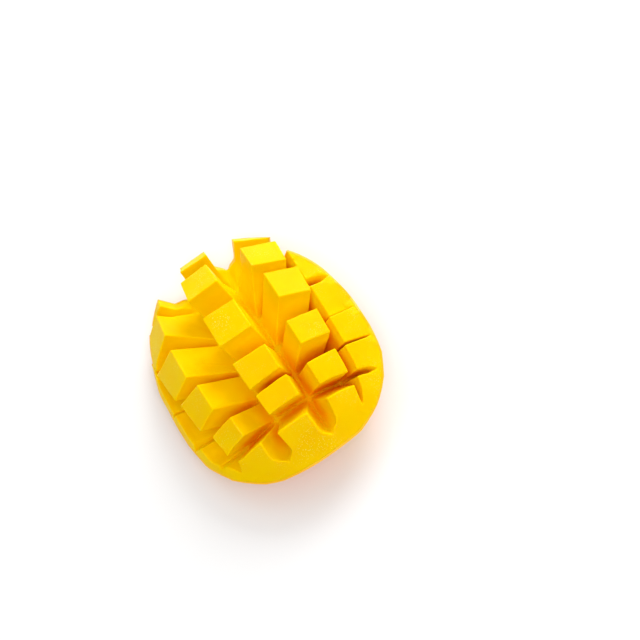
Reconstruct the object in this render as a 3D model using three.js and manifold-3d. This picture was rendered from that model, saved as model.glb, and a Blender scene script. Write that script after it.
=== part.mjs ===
// Half a mango, cut off beside the stone, scored in a grid down to the skin and turned inside out.
//
// The shape is made the way the food is. A half is cut from the fruit with its cut face at z = 0 and its
// skin below, a knife scores the flesh, and the skin is bent so that the blocks lean apart. Units are
// millimetres. +Z is up, +X runs along the fruit to the end that the knife leaves whole, and +Y runs
// across it. The finished half rests on its skin at z = 0, with the origin under the middle.

import * as THREE from "three";
import { mergeVertices } from "three/addons/utils/BufferGeometryUtils.js";
import Module from "manifold-3d";

const wasm = await Module();
wasm.setup();

// ---- Driving dimensions, in millimetres and degrees ----

// An outline's fullness is the power of its curve: 2 is an ellipse, more is boxier. Left is towards -Y.
const FRUIT = {
  middle: 1.2,
  halfLength: 41.8,
  halfWidth: 33,
  halfThickness: 37.5,
  fullness: { stemLeft: 3, stemRight: 2, tip: 3 },
};
const SECTION_FULLNESS = 3.6;
const CUT_FACE_OFFSET = 5; // from the middle of the fruit to the cut face, clear of the stone

const KNIFE_WIDTH = 0.4;
const ROOT_WIDTH = 1.3; // at the foot of a cut, where bending the skin pulls it open
const KNIFE_REACH = 120; // length of each stroke, past the fruit on both sides
const WEDGE_STEPS = 12; // straight steps that a bowed stroke is made of
// What the knife leaves whole, measured in from the skin.
const LEFT_WHOLE = { atStem: 3, atTip: 7.2, atSides: 1.2, below: 3 };
const STEM_NICK = { from: -24, depth: 12 }; // past here the cuts run out through the rim, this deep

// Cuts across the fruit and along it: where each crosses the middle line, its slant there in mm per mm,
// and how it bows away from straight, in mm per mm squared.
const COLUMN_CUTS = [
  { at: -33, slant: 0.05, bow: -0.0009 },
  { at: -17.5, slant: 0.06, bow: 0.0007 },
  { at: -1.2, slant: 0.04, bow: 0.0013 },
  { at: 11.5, slant: 0, bow: 0.0043 },
  { at: 22.1, slant: 0.04, bow: 0.006 },
];
const ROW_CUTS = [
  { at: -28.5, slant: 0.08, bow: 0.0018 },
  { at: -13.2, slant: 0.01, bow: 0.001 },
  { at: 3.6, slant: 0.01, bow: -0.001 },
  { at: 18.7, slant: -0.04, bow: -0.001 },
];
const END_BENDS = [{ at: 30, slant: 0, bow: 0 }, { at: 37, slant: 0, bow: 0 }]; // the whole end bends here

// Turning the half inside out: how far each column tips along the fruit, and each row across it.
const COLUMN_TILTS = [-47, -27, -8, 6, 20, 32, 36, 32];
const ROW_TILTS = [-63, -39, 0, 24, 31];
const ROW_CURL = [0.78, 0.96, 1, 0.98, 0.35]; // share of the column's tilt that each row takes
const ROW_TURN = [3, 0, 0, 0, 16]; // added to the column's tilt, as the right side stays straighter
const WHOLE_END_HOLD = 0.39; // how much less the rows tip at the ends, which the whole flesh holds
const HOLD_CENTRE = -10.5; // where along the fruit the rows tip most
// Blocks that lean out of line with their row and column.
const LEANS = [
  { row: 0, column: 3, along: -2, across: 0 },
  { row: 0, column: 4, along: 2, across: 0 },
  { row: 1, column: 0, along: 14, across: -4 },
  { row: 1, column: 1, along: 0, across: -6 },
  { row: 1, column: 2, along: 1, across: -4 },
  { row: 1, column: 4, along: 0, across: 5 },
  { row: 1, column: 5, along: 0, across: 8 },
  { row: 2, column: 1, along: 0, across: -5 },
  { row: 2, column: 2, along: 5, across: -2 },
  { row: 2, column: 3, along: 7, across: -1 },
  { row: 2, column: 4, along: -2, across: 0 },
  { row: 2, column: 5, along: 0, across: -3 },
  { row: 3, column: 0, along: -8, across: 8 },
  { row: 3, column: 1, along: 0, across: 4 },
  { row: 3, column: 2, along: -6, across: 5 },
  { row: 3, column: 4, along: 0, across: -2 },
  { row: 4, column: 0, along: 3, across: 0 },
  { row: 4, column: 1, along: 0, across: 2 },
  { row: 4, column: 2, along: 3, across: -2 },
  { row: 4, column: 3, along: 0, across: -2 },
  { row: 4, column: 4, along: -2, across: 0 },
  { row: 4, column: 5, along: -1, across: 2 },
];

const CUT_REACH = 4; // the skin bends this far to each side of a cut
const END_REACH = 8; // and this far to each side of a bend in the whole end

const CROSSING_ROUNDS = 6; // rounds in which a crossing of two lines is found
const RIM_SHARE = 0.97; // the outermost hinge lies this share of the way to the rim
const SWEEPS = 1500; // rounds in which each block settles between its neighbours
const REST = { pitch: -4.7, roll: 2.1 }; // turns the half onto the lowest points of its skin
const FLAT_DEPTH = 0.8; // worn off the lowest skin, so that the half rests on small flats

const RING_SIDES = 72;
const PROFILE_STEPS = 9;
const BEND_TOLERANCE = 0.35; // largest gap between the bent surface and its facets
const SHORTEST_SPLIT = 2.5; // edges shorter than this are left as they are
const MOST_PASSES = 6; // rounds of splitting
const PROBE_STEP = 1.5; // an edge is compared with the bent surface this often along its length

const COLOURS = { flesh: 0xf7c600 };

// ---- The flat half, scored ----

// What the knife reaches: a form inside the fruit's, with its own fullness.
const REACHED = {
  middle: FRUIT.middle + (LEFT_WHOLE.atStem - LEFT_WHOLE.atTip) / 2,
  halfLength: FRUIT.halfLength - (LEFT_WHOLE.atStem + LEFT_WHOLE.atTip) / 2,
  halfWidth: FRUIT.halfWidth - LEFT_WHOLE.atSides,
  halfThickness: FRUIT.halfThickness - LEFT_WHOLE.below,
  fullness: { stemLeft: 3, stemRight: 2, tip: 3.3 },
};

// How far out a place lies in a form's outline: 0 in the middle, 1 on the outline.
function shareOut(form, x, y) {
  const atStem = y < 0 ? form.fullness.stemLeft : form.fullness.stemRight;
  const power = x < form.middle ? atStem : form.fullness.tip;
  const along = Math.abs((x - form.middle) / form.halfLength) ** power;
  const across = Math.abs(y / form.halfWidth) ** power;
  return (along + across) ** (1 / power);
}

// A bowl of a form round the fruit's middle, filled up to a level and flat on top.
function filledBowl(form, level) {
  const rimAngle = Math.acos(((CUT_FACE_OFFSET - level) / form.halfThickness) ** (SECTION_FULLNESS / 2));
  const profile = [];
  for (let step = 0; step <= PROFILE_STEPS; step++) {
    const angle = (rimAngle * step) / PROFILE_STEPS;
    const out = Math.sin(angle) ** (2 / SECTION_FULLNESS);
    const down = Math.cos(angle) ** (2 / SECTION_FULLNESS);
    profile.push(new THREE.Vector2(out, CUT_FACE_OFFSET - form.halfThickness * down));
  }
  profile.push(new THREE.Vector2(0, level));
  const bowl = new THREE.LatheGeometry(profile, RING_SIDES).rotateX(Math.PI / 2);
  bowl.scale(form.halfLength, form.halfWidth, 1).translate(form.middle, 0, 0);
  const place = bowl.attributes.position;
  for (let i = 0; i < place.count; i++) {
    const [x, y] = [place.getX(i), place.getY(i)];
    const round = Math.hypot((x - form.middle) / form.halfLength, y / form.halfWidth);
    const stretch = round ? round / shareOut(form, x, y) : 1;
    place.setXY(i, form.middle + (x - form.middle) * stretch, y * stretch);
  }
  return bowl;
}

// A closed geometry as a manifold-3d solid.
function solidOf(geometry) {
  geometry.deleteAttribute("normal").deleteAttribute("uv");
  const merged = mergeVertices(geometry, 1e-4);
  const corners = [...merged.index.array];
  const kept = [];
  for (let i = 0; i < corners.length; i += 3) {
    const [a, b, c] = corners.slice(i, i + 3);
    if (a !== b && b !== c && c !== a) kept.push(a, b, c);
  }
  const vertProperties = new Float32Array(merged.attributes.position.array);
  return new wasm.Manifold(new wasm.Mesh({ numProp: 3, vertProperties, triVerts: new Uint32Array(kept) }));
}

// How far over a cut's line lies at a distance from the middle line.
const lineAt = (line, run) => line.at + line.slant * run + line.bow * run * run;

// The knife's path for one cut, as a thin upright wedge that follows the cut's line.
function knifeWedge(cut, acrossFruit) {
  const steps = cut.bow ? WEDGE_STEPS : 1;
  const depth = FRUIT.halfThickness;
  const wedge = acrossFruit
    ? new THREE.BoxGeometry(1, KNIFE_REACH, depth, 1, steps, 1)
    : new THREE.BoxGeometry(KNIFE_REACH, 1, depth, steps, 1, 1);
  wedge.translate(0, 0, CUT_FACE_OFFSET - depth / 2);
  const place = wedge.attributes.position;
  for (let i = 0; i < place.count; i++) {
    const [x, y] = [place.getX(i), place.getY(i)];
    const width = place.getZ(i) < 0 ? ROOT_WIDTH : KNIFE_WIDTH;
    if (acrossFruit) place.setX(i, x * width + lineAt(cut, y));
    else place.setY(i, y * width + lineAt(cut, x));
  }
  return solidOf(wedge);
}

function scoredHalf() {
  const half = solidOf(filledBowl(FRUIT, 0));
  const reached = solidOf(filledBowl(REACHED, CUT_FACE_OFFSET));
  const wedges = [
    ...COLUMN_CUTS.map((cut) => knifeWedge(cut, true)),
    ...ROW_CUTS.map((cut) => knifeWedge(cut, false)),
  ];
  const nick = new THREE.BoxGeometry(KNIFE_REACH, KNIFE_REACH, STEM_NICK.depth + CUT_FACE_OFFSET);
  nick.translate(STEM_NICK.from - KNIFE_REACH / 2, 0, (CUT_FACE_OFFSET - STEM_NICK.depth) / 2);
  const cuts = wedges.reduce((all, wedge) => all.add(wedge)).intersect(reached.add(solidOf(nick)));
  const pieces = half.subtract(cuts).decompose(); // a sliver that the knife frees at the rim falls away
  return pieces.reduce((one, other) => (one.volume() > other.volume() ? one : other));
}

// ---- Turning it inside out ----

// Height of the skin under a point of the flat half.
function skinHeight(x, y) {
  const out = Math.min(1, shareOut(FRUIT, x, y));
  return CUT_FACE_OFFSET - FRUIT.halfThickness * (1 - out ** SECTION_FULLNESS) ** (1 / SECTION_FULLNESS);
}

// How far a point lies inside the flesh that the knife reaches, and 0 outside it.
function depthInReach({ x, y, z }) {
  const out = shareOut(REACHED, x, y);
  const down = Math.abs(z - CUT_FACE_OFFSET) / REACHED.halfThickness;
  const gauge = (out ** SECTION_FULLNESS + down ** SECTION_FULLNESS) ** (1 / SECTION_FULLNESS);
  const inForm = Math.hypot(x - REACHED.middle, y, z - CUT_FACE_OFFSET) * (1 / gauge - 1);
  const inNick = Math.min(STEM_NICK.from - x, z + STEM_NICK.depth);
  return Math.max(0, inForm, inNick);
}

// The share of a point's movement that comes from beyond a line: 0 on the near side, 1 on the far side.
function shareBeyond(distance, depth, reach) {
  const t = Math.min(1, Math.hypot(distance, depth) / reach);
  return 0.5 + 0.5 * Math.sign(distance) * t * t * (3 - 2 * t);
}

// How far a place lies beyond a line, given its distance over and its run along the line.
const beyondLine = (line, over, run) =>
  (over - lineAt(line, run)) / Math.hypot(1, line.slant + 2 * line.bow * run);

// Turns the shares beyond each line into one weight for each strip between the lines.
function stripWeights(beyond) {
  return [1, ...beyond].map((share, strip) => share - (beyond[strip] ?? 0));
}

function columnWeights(point) {
  const depth = depthInReach(point);
  const cuts = COLUMN_CUTS.map((cut) => shareBeyond(beyondLine(cut, point.x, point.y), depth, CUT_REACH));
  const bends = END_BENDS.map((bend) => shareBeyond(beyondLine(bend, point.x, point.y), 0, END_REACH));
  return stripWeights([...cuts, ...bends]);
}

function rowWeights(point) {
  const depth = depthInReach(point);
  return stripWeights(ROW_CUTS.map((cut) => shareBeyond(beyondLine(cut, point.y, point.x), depth, CUT_REACH)));
}

// Where a column line and a row line cross, pulled in to the rim if need be, on the skin.
function hinge(column, row) {
  let x = column.at;
  let y = row.at;
  for (let round = 0; round < CROSSING_ROUNDS; round++) {
    y = lineAt(row, x);
    x = lineAt(column, y);
  }
  const pull = Math.min(1, RIM_SHARE / shareOut(FRUIT, x, y));
  x = FRUIT.middle + (x - FRUIT.middle) * pull;
  y *= pull;
  return new THREE.Vector3(x, y, skinHeight(x, y));
}

const edgeLine = (at) => ({ at, slant: 0, bow: 0 });
const STEM_EDGE = edgeLine(FRUIT.middle - FRUIT.halfLength);
const TIP_EDGE = edgeLine(FRUIT.middle + FRUIT.halfLength);
const COLUMN_LINES = [STEM_EDGE, ...COLUMN_CUTS, ...END_BENDS, TIP_EDGE];
const ROW_LINES = [edgeLine(-FRUIT.halfWidth), ...ROW_CUTS, edgeLine(FRUIT.halfWidth)];

// One block of the grid: its tilt, and where it ends up.
function makeBlock(column, row) {
  const middle = (COLUMN_LINES[column].at + COLUMN_LINES[column + 1].at) / 2;
  const hold = 1 - WHOLE_END_HOLD * ((middle - HOLD_CENTRE) / FRUIT.halfLength) ** 2;
  const lean = LEANS.find((one) => one.row === row && one.column === column);
  const tipAlong = COLUMN_TILTS[column] * ROW_CURL[row] + ROW_TURN[row] + (lean?.along ?? 0);
  const tipAcross = ROW_TILTS[row] * hold + (lean?.across ?? 0);
  const turn = new THREE.Matrix4().makeRotationY(THREE.MathUtils.degToRad(tipAlong));
  turn.multiply(new THREE.Matrix4().makeRotationX(THREE.MathUtils.degToRad(-tipAcross)));
  return { turn, shift: new THREE.Vector3(), hinges: [] };
}

const placed = (block, point) => point.clone().applyMatrix4(block.turn).add(block.shift);

// Gives both blocks beside a border the three hinge points along it.
function joinBlocks(one, other, start, end) {
  for (const point of [start, start.clone().lerp(end, 0.5), end]) {
    point.z = skinHeight(point.x, point.y);
    one.hinges.push({ point, neighbour: other });
    other.hinges.push({ point, neighbour: one });
  }
}

// All blocks, each settled so that its hinges meet its neighbours' as nearly as they can.
function settledBlocks() {
  const columns = COLUMN_LINES.length - 1;
  const rows = ROW_LINES.length - 1;
  const grid = Array.from({ length: columns }, (_, c) => Array.from({ length: rows }, (_, r) => makeBlock(c, r)));
  for (let c = 0; c < columns; c++)
    for (let r = 0; r < rows; r++) {
      const far = hinge(COLUMN_LINES[c + 1], ROW_LINES[r + 1]);
      if (c + 1 < columns) joinBlocks(grid[c][r], grid[c + 1][r], hinge(COLUMN_LINES[c + 1], ROW_LINES[r]), far);
      if (r + 1 < rows) joinBlocks(grid[c][r], grid[c][r + 1], hinge(COLUMN_LINES[c], ROW_LINES[r + 1]), far.clone());
    }
  const blocks = grid.flat();
  for (let sweep = 0; sweep < SWEEPS; sweep++)
    for (const block of blocks) {
      const mean = new THREE.Vector3();
      for (const { point, neighbour } of block.hinges)
        mean.add(placed(neighbour, point)).sub(point.clone().applyMatrix4(block.turn));
      block.shift.copy(mean.divideScalar(block.hinges.length));
    }
  return grid;
}

const blocks = settledBlocks();

// Where a point of the flat half goes when the half is turned inside out.
function turnedOut(point) {
  const columns = columnWeights(point);
  const rows = rowWeights(point);
  const sum = new THREE.Vector3();
  for (const [c, columnWeight] of columns.entries())
    for (const [r, rowWeight] of rows.entries())
      if (columnWeight * rowWeight) sum.addScaledVector(placed(blocks[c][r], point), columnWeight * rowWeight);
  return sum;
}

// ---- Following the bent surface with facets ----

const edgeKey = (a, b) => (a < b ? `${a} ${b}` : `${b} ${a}`);

// How far the straight edge between two bent points strays from the bent surface.
function strayOf(flat, bent, a, b) {
  const probes = Math.ceil(flat[a].distanceTo(flat[b]) / PROBE_STEP);
  let stray = 0;
  for (let probe = 1; probe < probes; probe++) {
    const onSurface = turnedOut(flat[a].clone().lerp(flat[b], probe / probes));
    stray = Math.max(stray, onSurface.distanceTo(bent[a].clone().lerp(bent[b], probe / probes)));
  }
  return stray;
}

// Cuts a triangle at the edge middles that exist.
function splitTriangle([a, b, c], middles, bent) {
  const [ab, bc, ca] = [middles.get(edgeKey(a, b)), middles.get(edgeKey(b, c)), middles.get(edgeKey(c, a))];
  const count = [ab, bc, ca].filter((middle) => middle !== undefined).length;
  if (count === 0) return [[a, b, c]];
  if (count === 3) return [[a, ab, ca], [ab, b, bc], [ca, bc, c], [ab, bc, ca]];
  if (ab === undefined) return splitTriangle([b, c, a], middles, bent);
  if (count === 1) return [[a, ab, c], [ab, b, c]];
  if (bc === undefined) return splitTriangle([c, a, b], middles, bent);
  const shorter = bent[a].distanceTo(bent[bc]) < bent[ab].distanceTo(bent[c]);
  return shorter ? [[a, ab, bc], [ab, b, bc], [a, bc, c]] : [[a, ab, c], [ab, b, bc], [ab, bc, c]];
}

// The half turned inside out, with edges split until the facets follow the bend.
function bentMesh(solid) {
  const { vertProperties, triVerts, numProp } = solid.getMesh();
  const flat = [];
  for (let i = 0; i < vertProperties.length; i += numProp)
    flat.push(new THREE.Vector3().fromArray(vertProperties, i));
  const bent = flat.map(turnedOut);
  let triangles = [];
  for (let i = 0; i < triVerts.length; i += 3) triangles.push([...triVerts.slice(i, i + 3)]);
  const settled = new Set();
  for (let pass = 0; pass < MOST_PASSES; pass++) {
    const middles = new Map();
    for (const [a, b, c] of triangles)
      for (const [from, to] of [[a, b], [b, c], [c, a]]) {
        const key = edgeKey(from, to);
        if (settled.has(key)) continue;
        settled.add(key);
        if (flat[from].distanceTo(flat[to]) < SHORTEST_SPLIT) continue;
        if (strayOf(flat, bent, from, to) < BEND_TOLERANCE) continue;
        middles.set(key, flat.length);
        flat.push(flat[from].clone().lerp(flat[to], 0.5));
        bent.push(turnedOut(flat.at(-1)));
      }
    triangles = triangles.flatMap((triangle) => splitTriangle(triangle, middles, bent));
  }
  const geometry = new THREE.BufferGeometry().setFromPoints(bent);
  return geometry.setIndex(triangles.flat());
}

// ---- At rest ----

// Levels the half, takes the flats off its lowest skin and puts the origin under its middle.
function atRest(geometry) {
  geometry.rotateY(THREE.MathUtils.degToRad(REST.pitch)).rotateX(THREE.MathUtils.degToRad(REST.roll));
  geometry.computeBoundingBox();
  const { min, max } = geometry.boundingBox;
  geometry.translate(-(min.x + max.x) / 2, -(min.y + max.y) / 2, -min.z - FLAT_DEPTH);
  const size = 4 * FRUIT.halfLength;
  const floor = new THREE.BoxGeometry(size, size, size).translate(0, 0, -size / 2);
  return solidOf(geometry).subtract(solidOf(floor));
}

function geometryOf(solid) {
  const { vertProperties, triVerts, numProp } = solid.getMesh();
  const geometry = new THREE.BufferGeometry();
  const positions = [];
  for (let i = 0; i < vertProperties.length; i += numProp) positions.push(...vertProperties.slice(i, i + 3));
  geometry.setAttribute("position", new THREE.Float32BufferAttribute(positions, 3));
  geometry.setIndex([...triVerts]);
  geometry.computeVertexNormals();
  return geometry;
}

const flesh = new THREE.MeshStandardMaterial({ color: COLOURS.flesh, roughness: 0.4, metalness: 0 });
const mangoHalf = new THREE.Mesh(geometryOf(atRest(bentMesh(scoredHalf()))), flesh);
mangoHalf.name = "mango_half";

const group = new THREE.Group();
group.add(mangoHalf);

export default group;
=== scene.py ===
"""The looks of a cubed mango half: moist yellow flesh in cubes, on its thin skin, lying on a pale floor."""

import logging
import math
from collections.abc import Callable
from dataclasses import dataclass, field
from enum import Enum

import bmesh
import bpy
from mathutils import Euler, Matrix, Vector
from mathutils.bvhtree import BVHTree
from mathutils.kdtree import KDTree


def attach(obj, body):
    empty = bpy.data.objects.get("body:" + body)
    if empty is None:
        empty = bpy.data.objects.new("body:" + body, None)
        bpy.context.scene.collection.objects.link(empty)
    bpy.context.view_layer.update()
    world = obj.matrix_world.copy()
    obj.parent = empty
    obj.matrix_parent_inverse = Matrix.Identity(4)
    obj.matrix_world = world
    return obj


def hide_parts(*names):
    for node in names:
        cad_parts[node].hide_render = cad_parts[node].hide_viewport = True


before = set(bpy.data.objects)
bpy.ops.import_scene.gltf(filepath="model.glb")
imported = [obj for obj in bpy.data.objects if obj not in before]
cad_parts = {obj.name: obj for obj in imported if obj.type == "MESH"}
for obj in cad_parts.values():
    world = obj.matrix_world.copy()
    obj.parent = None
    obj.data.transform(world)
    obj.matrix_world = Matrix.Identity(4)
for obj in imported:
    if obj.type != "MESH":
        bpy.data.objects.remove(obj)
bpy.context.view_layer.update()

log = logging.getLogger("mango")

MM = 0.001
Colour = tuple[float, float, float]
Range = tuple[float, float]


class Slot(Enum):
    """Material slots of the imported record."""

    FLESH = "flesh"


class Body(Enum):
    """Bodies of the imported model."""

    ROOT = "root"


class Node(Enum):
    """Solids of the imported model."""

    HALF = "mango_half"


class Layer(Enum):
    """Values that a piece carries on its points for its finish."""

    SKIN_NEARNESS = "skin_nearness"
    RIM_NEARNESS = "rim_nearness"
    # How much open space a point sees; the flesh's painted glow, painted shade and painted glints are
    # placed by it.
    OPENNESS = "openness"


# ---- Working by hand ----


def pick(piece: bpy.types.Object) -> None:
    """Selects one piece alone and makes it active.

    Args:
        piece: The object to work on next.
    """
    bpy.ops.object.select_all(action="DESELECT")
    piece.select_set(True)
    bpy.context.view_layer.objects.active = piece


def finish_with(piece: bpy.types.Object, kind: str, **settings: object) -> None:
    """Adds one modifier to a piece and applies it.

    Args:
        piece: The object to change.
        kind: Blender's name for the modifier.
        settings: The modifier's own values.
    """
    pick(piece)
    modifier = piece.modifiers.new(kind.lower(), kind)
    for name, value in settings.items():
        setattr(modifier, name, value)
    bpy.ops.object.modifier_apply(modifier=modifier.name)


def copy_of(source: bpy.types.Object, name: str) -> bpy.types.Object:
    """Copies an object with a mesh of its own and no parent.

    Args:
        source: The object to copy.
        name: The copy's name.

    Returns:
        The copy, standing where the source stands.
    """
    pick(source)
    bpy.ops.object.duplicate()
    piece = bpy.context.view_layer.objects.active
    piece.parent = None
    for key in list(piece.keys()):
        del piece[key]
    piece.name = piece.data.name = name
    return piece


def triangles_in(piece: bpy.types.Object) -> int:
    """Counts a piece's triangles."""
    return sum(len(face.vertices) - 2 for face in piece.data.polygons)


def carry(piece: bpy.types.Object, layer: Layer, value_at: Callable[[bpy.types.MeshVertex], float]) -> None:
    """Stores a value on each of a piece's points.

    Args:
        piece: The object that carries the values.
        layer: What the value means.
        value_at: Gives the value of one point.
    """
    values = piece.data.attributes.new(layer.value, "FLOAT", "POINT").data
    for point in piece.data.vertices:
        values[point.index].value = value_at(point)


# ---- Finishes ----


class NodeBench:
    """Builds one procedural material from named nodes."""

    def __init__(self, name: str) -> None:
        """Starts a material with one Principled shader.

        Args:
            name: The material's name.
        """
        self.material = bpy.data.materials.new(name)
        self.material.use_nodes = True
        self.tree = self.material.node_tree
        self.shader = next(n for n in self.tree.nodes if n.type == "BSDF_PRINCIPLED")
        self.place = self.tree.nodes.new("ShaderNodeTexCoord").outputs["Object"]

    def join(self, source: bpy.types.NodeSocket, target: bpy.types.NodeSocket) -> None:
        """Links two sockets."""
        self.tree.links.new(source, target)

    def noise(self, size: float, detail: float = 2.0, roughness: float = 0.5) -> bpy.types.NodeSocket:
        """Adds a noise pattern on the object's own coordinates.

        Args:
            size: Rough size of its lumps in metres.
            detail: Octaves of finer noise.
            roughness: How strong the finer octaves are.

        Returns:
            The value from 0 to 1.
        """
        node = self.tree.nodes.new("ShaderNodeTexNoise")
        node.inputs["Scale"].default_value = 1 / size
        node.inputs["Detail"].default_value = detail
        node.inputs["Roughness"].default_value = roughness
        self.join(self.place, node.inputs["Vector"])
        return node.outputs["Fac"]

    def dots(self, spacing: float, radius: float) -> bpy.types.NodeSocket:
        """Adds scattered round dots.

        Args:
            spacing: Distance between dots in metres.
            radius: A dot's radius as a share of the spacing.

        Returns:
            1 in the middle of a dot, 0 outside it.
        """
        node = self.tree.nodes.new("ShaderNodeTexVoronoi")
        node.inputs["Scale"].default_value = 1 / spacing
        self.join(self.place, node.inputs["Vector"])
        return self.ramp(node.outputs["Distance"], radius, 0.0)

    def ramp(self, value: bpy.types.NodeSocket, low: float, high: float) -> bpy.types.NodeSocket:
        """Maps a value smoothly from 0 at low to 1 at high.

        Args:
            value: The value to map.
            low: Where the result is 0.
            high: Where the result is 1.

        Returns:
            The mapped value.
        """
        node = self.tree.nodes.new("ShaderNodeMapRange")
        node.interpolation_type = "SMOOTHSTEP"
        node.inputs["From Min"].default_value = low
        node.inputs["From Max"].default_value = high
        self.join(value, node.inputs["Value"])
        return node.outputs["Result"]

    def times(self, one: bpy.types.NodeSocket, other: bpy.types.NodeSocket) -> bpy.types.NodeSocket:
        """Multiplies two values.

        Args:
            one: The first value.
            other: The second value.

        Returns:
            Their product.
        """
        node = self.tree.nodes.new("ShaderNodeMath")
        node.operation = "MULTIPLY"
        self.join(one, node.inputs[0])
        self.join(other, node.inputs[1])
        return node.outputs["Value"]

    def mix(
        self,
        share: bpy.types.NodeSocket,
        low: Colour | bpy.types.NodeSocket,
        high: Colour | bpy.types.NodeSocket,
    ) -> bpy.types.NodeSocket:
        """Blends two colours.

        Args:
            share: 0 for the first colour, 1 for the second.
            low: The first colour.
            high: The second colour.

        Returns:
            The blended colour.
        """
        node = self.tree.nodes.new("ShaderNodeMix")
        node.data_type = "RGBA"
        self.join(share, node.inputs["Factor"])
        for socket, colour in ((node.inputs[6], low), (node.inputs[7], high)):
            if isinstance(colour, tuple):
                socket.default_value = (*colour, 1.0)
            else:
                self.join(colour, socket)
        return node.outputs[2]

    def carried(self, layer: Layer) -> bpy.types.NodeSocket:
        """Reads a value that the piece carries on its points."""
        node = self.tree.nodes.new("ShaderNodeAttribute")
        node.attribute_name = layer.value
        return node.outputs["Fac"]

    def bump(
        self, height: bpy.types.NodeSocket, depth: float, under: bpy.types.NodeSocket | None = None
    ) -> bpy.types.NodeSocket:
        """Turns a height into a bumpy surface.

        Args:
            height: The height from 0 to 1.
            depth: How high 1 stands, in metres.
            under: A bumpy surface that this one lies on.

        Returns:
            The surface's normal.
        """
        node = self.tree.nodes.new("ShaderNodeBump")
        node.inputs["Strength"].default_value = 1.0
        node.inputs["Distance"].default_value = depth
        self.join(height, node.inputs["Height"])
        if under is not None:
            self.join(under, node.inputs["Normal"])
        return node.outputs["Normal"]


@dataclass(frozen=True)
class FleshFinish:
    """Ripe, moist mango flesh: light goes in, and its colour carries a painted glow in the cuts, painted
    shade deep in the narrow slits and painted glints on the open faces.

    Each range says from where to where a pattern or a carried value fades in.
    """

    open_colour: Colour = (0.86, 0.575, 0.0)
    warm_colour: Colour = (0.86, 0.54, 0.0)
    # Flesh near the skin: a deeper orange, as real mango flesh has there, and also brighter, a painted glow
    # in the bottoms of the cuts.
    deep_tone_and_glow_colour: Colour = (0.97, 0.60, 0.0)
    # Painted glow: a brighter colour where the flesh sees little open space, standing in for light that
    # shines into the cuts.
    painted_glow_colour: Colour = (0.98, 0.70, 0.0)
    # Painted shade: a darker orange in the narrowest slits, where little light reaches.
    painted_slit_shade_colour: Colour = (0.90, 0.36, 0.0)
    # Painted glints: pale dots in the base colour that stand in for wet highlights.
    painted_glint_colour: Colour = (0.95, 0.80, 0.18)
    cloud_size: float = 14 * MM
    pulp_size: float = 1.4 * MM
    pulp_depth: float = 0.05 * MM
    grain_size: float = 0.35 * MM
    grain_depth: float = 0.02 * MM
    # Size, spread and patches of the painted glints.
    painted_glint_spacing: float = 0.75 * MM
    painted_glint_radius: float = 0.38
    painted_glint_patch: float = 11 * MM
    cloud_range: Range = (0.35, 0.7)
    # Openness over which the painted glow fades in.
    painted_glow_range: Range = (0.75, 0.2)
    # Openness over which the painted slit shade fades in.
    painted_slit_shade_range: Range = (0.25, 0.0)
    painted_glint_patch_range: Range = (0.42, 0.7)
    painted_glint_range: Range = (0.7, 1.0)
    light_reach: tuple[float, float, float] = (1.0, 0.85, 0.2)
    light_depth: float = 1.2 * MM
    roughness: float = 0.42
    gloss: float = 0.07
    gloss_tint: Colour = (1.0, 0.8, 0.1)

    def material(self) -> bpy.types.Material:
        """Builds the flesh's material.

        Returns:
            The material.
        """
        bench = NodeBench("mango_flesh")
        shader = bench.shader.inputs
        openness = bench.carried(Layer.OPENNESS)
        cloud = bench.ramp(bench.noise(self.cloud_size), *self.cloud_range)
        body = bench.mix(cloud, self.open_colour, self.warm_colour)
        # Near the skin the colour turns deeper orange and brighter: the flesh's own tone there plus a
        # painted glow in the cut bottoms.
        body = bench.mix(bench.carried(Layer.SKIN_NEARNESS), body, self.deep_tone_and_glow_colour)
        # Painted glow: brighter colour where the openness is low, in the cuts and valleys.
        body = bench.mix(bench.ramp(openness, *self.painted_glow_range), body, self.painted_glow_colour)
        # Painted shade: darker orange where the openness is lowest, deep in the narrow slits.
        body = bench.mix(bench.ramp(openness, *self.painted_slit_shade_range), body, self.painted_slit_shade_colour)
        # Painted glints: pale dots in patches, only on the open faces, painted into the base colour as wet
        # highlights.
        painted_glint_patches = bench.ramp(bench.noise(self.painted_glint_patch), *self.painted_glint_patch_range)
        painted_glint_patches = bench.times(painted_glint_patches, bench.ramp(openness, *self.painted_glint_range))
        painted_glint = bench.times(bench.dots(self.painted_glint_spacing, self.painted_glint_radius), painted_glint_patches)
        bench.join(bench.mix(painted_glint, body, self.painted_glint_colour), shader["Base Color"])
        pulp = bench.bump(bench.noise(self.pulp_size, 3.0, 0.6), self.pulp_depth)
        bench.join(bench.bump(bench.noise(self.grain_size), self.grain_depth, pulp), shader["Normal"])
        shader["Roughness"].default_value = self.roughness
        shader["Subsurface Weight"].default_value = 1.0
        shader["Subsurface Radius"].default_value = self.light_reach
        shader["Subsurface Scale"].default_value = self.light_depth
        shader["Specular IOR Level"].default_value = self.gloss
        shader["Specular Tint"].default_value = (*self.gloss_tint, 1.0)
        return bench.material


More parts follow.
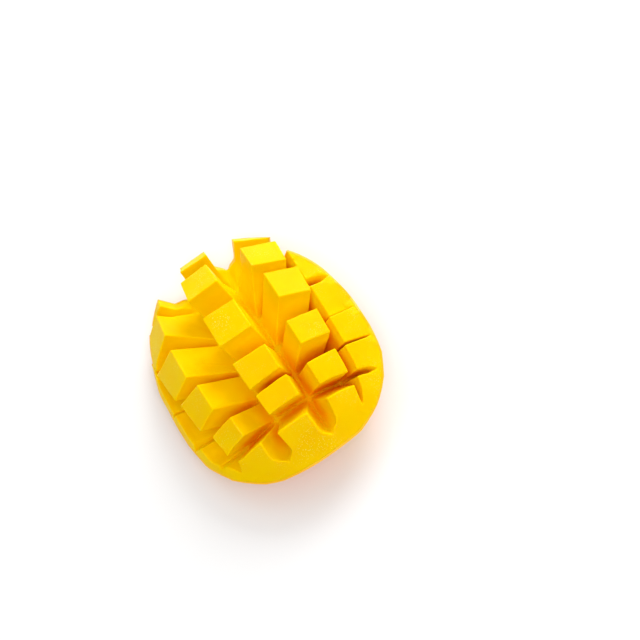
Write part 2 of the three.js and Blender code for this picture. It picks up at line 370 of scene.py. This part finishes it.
@dataclass(frozen=True)
class SkinFinish:
    """Smooth, waxy mango skin: yellow with an orange and red blush and small pale pores."""

    rim: Colour = (0.98, 0.50, 0.0)
    yellow: Colour = (0.93, 0.52, 0.008)
    orange: Colour = (0.88, 0.24, 0.004)
    red: Colour = (0.66, 0.055, 0.006)
    pore: Colour = (0.95, 0.62, 0.16)
    blush_size: float = 45 * MM
    pore_spacing: float = 1.7 * MM
    pore_radius: float = 0.3
    orange_range: Range = (0.42, 0.6)
    red_range: Range = (0.55, 0.75)
    pore_range: Range = (0.4, 0.55)
    ripple_size: float = 1.2 * MM
    ripple_depth: float = 0.03 * MM
    light_share: float = 0.15
    light_reach: tuple[float, float, float] = (1.0, 0.4, 0.1)
    light_depth: float = 1.5 * MM
    roughness: float = 0.3
    gloss: float = 0.3

    def material(self) -> bpy.types.Material:
        """Builds the skin's material.

        Returns:
            The material.
        """
        bench = NodeBench("mango_skin")
        shader = bench.shader.inputs
        blush = bench.noise(self.blush_size, 4.0, 0.55)
        colour = bench.mix(bench.ramp(blush, *self.orange_range), self.yellow, self.orange)
        colour = bench.mix(bench.ramp(blush, *self.red_range), colour, self.red)
        pores = bench.dots(self.pore_spacing, self.pore_radius)
        pores = bench.times(pores, bench.ramp(blush, *self.pore_range))
        colour = bench.mix(pores, colour, self.pore)
        bench.join(bench.mix(bench.carried(Layer.RIM_NEARNESS), colour, self.rim), shader["Base Color"])
        bench.join(bench.bump(bench.noise(self.ripple_size), self.ripple_depth), shader["Normal"])
        shader["Roughness"].default_value = self.roughness
        shader["Specular IOR Level"].default_value = self.gloss
        shader["Subsurface Weight"].default_value = self.light_share
        shader["Subsurface Radius"].default_value = self.light_reach
        shader["Subsurface Scale"].default_value = self.light_depth
        return bench.material


# ---- The half ----


@dataclass
class MangoHalf:
    """The scored half: its flesh in one soft piece, and the skin that it hangs together by."""

    weld: float = 0.01 * MM
    voxel: float = 0.3 * MM
    rounding_rounds: int = 6
    most_triangles: int = 190_000
    skin_sharpness: float = 0.6
    skin_cuts: int = 3
    skin_rounds: int = 5
    skin_strength: float = 1.2
    rim_strength: float = 0.3
    skin_crease: float = math.radians(50)
    skin_thickness: float = 0.9 * MM
    skin_overlap: float = 0.45 * MM
    deep_reach: float = 4 * MM
    rim_reach: float = 9 * MM
    valley_rounds: int = 400
    full_fill: float = 0.05 * MM
    wave_length: float = 6 * MM
    wave_height: float = 0.3 * MM
    sky_rays: int = 36
    sky_blur_rounds: int = 30
    sky_reach: float = 30 * MM
    lowest_ray: float = 0.15
    flesh_finish: FleshFinish = field(default_factory=FleshFinish)
    skin_finish: SkinFinish = field(default_factory=SkinFinish)

    def solid_copy(self, name: str) -> bpy.types.Object:
        """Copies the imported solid, with its loose triangles joined.

        Args:
            name: The copy's name.

        Returns:
            The copy, with only its skin's faces selected.
        """
        piece = copy_of(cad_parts[Node.HALF.value], name)
        piece.data.materials.clear()
        bpy.ops.object.mode_set(mode="EDIT")
        bpy.ops.mesh.select_mode(type="FACE")
        bpy.ops.mesh.customdata_custom_splitnormals_clear()
        bpy.ops.mesh.select_all(action="SELECT")
        bpy.ops.mesh.remove_doubles(threshold=self.weld)
        bpy.ops.mesh.select_all(action="DESELECT")
        shape = bmesh.from_edit_mesh(piece.data)
        lowest = min(shape.faces, key=lambda face: (round(face.normal.z, 3), face.calc_center_median().z))
        lowest.select_set(True)
        shape.faces.active = lowest
        bmesh.update_edit_mesh(piece.data)
        bpy.ops.mesh.faces_select_linked_flat(sharpness=self.skin_sharpness)
        bpy.ops.object.mode_set(mode="OBJECT")
        return piece

    def make_skin(self) -> bpy.types.Object:
        """Makes the skin: the outside of the solid alone, smoothed and given its thickness.

        Returns:
            The skin piece.
        """
        skin = self.solid_copy("skin")
        bpy.ops.object.mode_set(mode="EDIT")
        bpy.ops.mesh.select_all(action="INVERT")
        bpy.ops.mesh.delete(type="FACE")
        bpy.ops.mesh.select_all(action="SELECT")
        bpy.ops.mesh.subdivide(number_cuts=self.skin_cuts)
        bpy.ops.mesh.region_to_loop()
        bpy.ops.object.mode_set(mode="OBJECT")
        rim = [point.co.copy() for point in skin.data.vertices if point.select]
        finish_with(
            skin,
            "LAPLACIANSMOOTH",
            iterations=self.skin_rounds,
            lambda_factor=self.skin_strength,
            lambda_border=self.rim_strength,
        )
        finish_with(skin, "SOLIDIFY", thickness=self.skin_thickness, offset=-1.0)
        bpy.ops.object.shade_smooth_by_angle(angle=self.skin_crease)
        near_rim = KDTree(len(rim))
        for index, place in enumerate(rim):
            near_rim.insert(place, index)
        near_rim.balance()
        carry(
            skin,
            Layer.RIM_NEARNESS,
            lambda point: max(0.0, 1 - near_rim.find(point.co)[2] / self.rim_reach),
        )
        skin.data.materials.append(self.skin_finish.material())
        return skin

    def round_valleys(self, flesh: bpy.types.Object) -> None:
        """Rounds the feet of the cuts, and leaves the corners that stand out as they are.

        Args:
            flesh: The flesh, in even small faces.
        """
        soft = copy_of(flesh, "soft")
        finish_with(soft, "SMOOTH", factor=0.5, iterations=self.valley_rounds)
        valleys = flesh.vertex_groups.new(name="valleys")
        for own, smoothed in zip(flesh.data.vertices, soft.data.vertices):
            fill = (smoothed.co - own.co).dot(own.normal) / self.full_fill
            if fill > 0:
                valleys.add([own.index], min(1.0, fill), "REPLACE")
        bpy.data.objects.remove(soft)
        finish_with(flesh, "SMOOTH", factor=0.5, iterations=self.valley_rounds, vertex_group=valleys.name)

    def carry_openness(self, flesh: bpy.types.Object) -> None:
        """Stores how much open space each point sees: 1 for a face that stands free, less in the cuts.

        Args:
            flesh: The finished flesh.
        """
        around = BVHTree.FromPolygons(
            [point.co for point in flesh.data.vertices],
            [tuple(face.vertices) for face in flesh.data.polygons],
        )
        rays = []
        for step in range(self.sky_rays):
            height = 1 - (2 * step + 1) / self.sky_rays
            turn = step * math.pi * (3 - math.sqrt(5))
            ring = math.sqrt(1 - height * height)
            rays.append(Vector((ring * math.cos(turn), ring * math.sin(turn), height)))

        def openness(point: bpy.types.MeshVertex) -> float:
            """Share of the rays off the surface at a point that meet nothing."""
            out = [ray for ray in rays if ray.dot(point.normal) > self.lowest_ray]
            start = point.co + point.normal * self.voxel
            clear = sum(around.ray_cast(start, ray, self.sky_reach)[0] is None for ray in out)
            return clear / max(1, len(out))

        free = [openness(point) for point in flesh.data.vertices]
        for _ in range(self.sky_blur_rounds):
            sums, counts = list(free), [1] * len(free)
            for edge in flesh.data.edges:
                one, other = edge.vertices
                sums[one] += free[other]
                sums[other] += free[one]
                counts[one] += 1
                counts[other] += 1
            free = [total / count for total, count in zip(sums, counts)]
        # The openness places the painted glow, painted shade and painted glints in the flesh's colour.
        carry(flesh, Layer.OPENNESS, lambda point: free[point.index])

    def make_flesh(self) -> bpy.types.Object:
        """Makes the flesh: the solid, drawn in a little under the skin, with its cut edges softened.

        Returns:
            The flesh piece.
        """
        flesh = self.solid_copy("flesh")
        outside = [face.index for face in flesh.data.polygons if face.select]
        corners = [point.co.copy() for point in flesh.data.vertices]
        faces = [tuple(flesh.data.polygons[i].vertices) for i in outside]
        skin_side = BVHTree.FromPolygons(corners, faces)
        bpy.ops.object.mode_set(mode="EDIT")
        bpy.ops.transform.shrink_fatten(value=-self.skin_overlap)
        bpy.ops.object.mode_set(mode="OBJECT")
        finish_with(flesh, "REMESH", mode="VOXEL", voxel_size=self.voxel)
        self.round_valleys(flesh)
        finish_with(flesh, "SMOOTH", factor=0.5, iterations=self.rounding_rounds)
        waves = bpy.data.textures.new("waves", "CLOUDS")
        waves.noise_scale = self.wave_length
        finish_with(flesh, "DISPLACE", texture=waves, texture_coords="LOCAL", strength=self.wave_height)
        finish_with(flesh, "DECIMATE", ratio=self.most_triangles / triangles_in(flesh))
        bpy.ops.object.shade_smooth()
        carry(
            flesh,
            Layer.SKIN_NEARNESS,
            lambda point: max(0.0, 1 - skin_side.find_nearest(point.co)[3] / self.deep_reach) ** 2,
        )
        self.carry_openness(flesh)
        flesh.data.materials.append(self.flesh_finish.material())
        return flesh

    def build(self) -> None:
        """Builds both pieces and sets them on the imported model."""
        for piece in (self.make_flesh(), self.make_skin()):
            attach(piece, Body.ROOT.value)
            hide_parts(Node.HALF.value)
            log.info("%s: %d triangles", piece.name, triangles_in(piece))


# ---- The studio ----


@dataclass(frozen=True)
class SoftBox:
    """One soft lamp: where it hangs in metres, how big it is and how bright."""

    name: str
    place: tuple[float, float, float]
    width: float
    height: float
    watts: float

    def hang(self, aim: Vector) -> None:
        """Hangs the lamp so that it faces a point.

        Args:
            aim: The point that it lights.
        """
        bpy.ops.object.light_add(type="AREA", location=self.place)
        lamp = bpy.context.view_layer.objects.active
        lamp.name = self.name
        lamp.rotation_euler = (aim - Vector(self.place)).to_track_quat("-Z", "Y").to_euler()
        lamp.data.shape = "RECTANGLE"
        lamp.data.size, lamp.data.size_y = self.width, self.height
        lamp.data.energy = self.watts


@dataclass
class Studio:
    """A pale floor, soft lamps and the camera."""

    floor_side: float = 8.0
    floor_colour: Colour = (0.86, 0.86, 0.86)
    surround: float = 0.68
    camera_place: tuple[float, float, float] = (0.31203, 0.04133, 0.84392)
    camera_turn: tuple[float, float, float] = (16.959, 11.781, 58.226)
    lens_mm: float = 115.396
    light_bounces: int = 12
    lamps: tuple[SoftBox, ...] = (
        SoftBox("key_lamp", (-0.68, 0.79, 0.615), 0.7, 0.7, 10.8),
        SoftBox("front_lamp", (0.6, 0.0, 1.055), 0.7, 0.7, 4.0),
        SoftBox("back_lamp", (-0.6, 0.1, 1.055), 0.7, 0.7, 1.4),
    )

    def build(self) -> None:
        """Lays the floor, hangs the lamps and sets up the camera."""
        bpy.ops.object.select_all(action="DESELECT")
        bpy.ops.mesh.primitive_plane_add(size=self.floor_side)
        floor = bpy.context.view_layer.objects.active
        floor.name = "floor"
        bench = NodeBench("pale_floor")
        bench.shader.inputs["Base Color"].default_value = (*self.floor_colour, 1.0)
        bench.shader.inputs["Roughness"].default_value = 0.6
        floor.data.materials.append(bench.material)
        for lamp in self.lamps:
            lamp.hang(Vector((0.0, 0.0, 0.015)))
        world = bpy.data.worlds.new("surround")
        world.use_nodes = True
        world.node_tree.nodes["Background"].inputs["Color"].default_value = (1.0, 1.0, 1.0, 1.0)
        world.node_tree.nodes["Background"].inputs["Strength"].default_value = self.surround
        bpy.context.scene.world = world
        turn = Euler([math.radians(angle) for angle in self.camera_turn])
        bpy.ops.object.camera_add(location=self.camera_place, rotation=turn)
        camera = bpy.context.view_layer.objects.active
        camera.data.lens = self.lens_mm
        camera.data.sensor_width = 36.0
        bpy.context.scene.camera = camera
        bpy.context.scene.view_settings.view_transform = "Standard"
        bpy.context.scene.cycles.diffuse_bounces = self.light_bounces


def main() -> None:
    """Builds the half and the studio."""
    logging.basicConfig(level=logging.INFO)
    MangoHalf().build()
    Studio().build()


if __name__ == "__main__":
    main()
